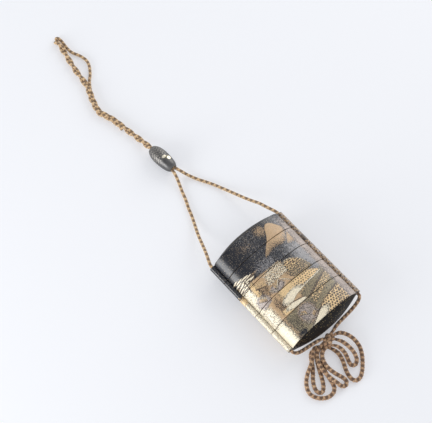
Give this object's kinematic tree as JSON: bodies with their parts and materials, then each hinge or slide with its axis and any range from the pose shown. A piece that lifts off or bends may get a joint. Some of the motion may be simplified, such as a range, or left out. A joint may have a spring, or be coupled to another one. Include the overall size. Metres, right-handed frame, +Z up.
{
  "type": "inro case",
  "caption": "Tiered oval lacquer case with a domed lid and side cord runners, on a silk cord with a bead, a toggle loop and a bow knot.",
  "frame": {"origin": "on the surface the case lies on, under the middle of the case", "axes": "+Y along the case towards its lid and the cord's toggle loop, +X across the case, +Z up through its thickness"},
  "size_m": [0.063, 0.299, 0.0237],
  "materials": {
    "black_lacquer": "polished black lacquer over a wooden core",
    "gold_lacquer": "sprinkled gold lacquer over a wooden core",
    "dark_metal": "dark patinated, engraved",
    "silk_cord": "braided silk, matte with a slight sheen"
  },
  "bodies": {
    "root": {"lid": "black_lacquer", "case_1": "gold_lacquer", "case_2": "gold_lacquer", "case_3": "gold_lacquer", "case_4": "gold_lacquer", "ojime_bead": "dark_metal", "cord_in_left_runner": "silk_cord", "cord_in_right_runner": "silk_cord", "cord_left_strand": "silk_cord", "cord_right_strand": "silk_cord", "cord_in_bead": "silk_cord", "cord_twisted_pair": "silk_cord", "netsuke_loop_right": "silk_cord", "netsuke_loop_left": "silk_cord", "cord_base_left": "silk_cord", "cord_base_right": "silk_cord", "bow_loop_right_outer": "silk_cord", "bow_loop_right_inner": "silk_cord", "bow_loop_left_outer": "silk_cord", "bow_loop_left_inner": "silk_cord", "bow_loop_middle": "silk_cord", "bow_knot": "silk_cord"}
  },
  "joints": []
}
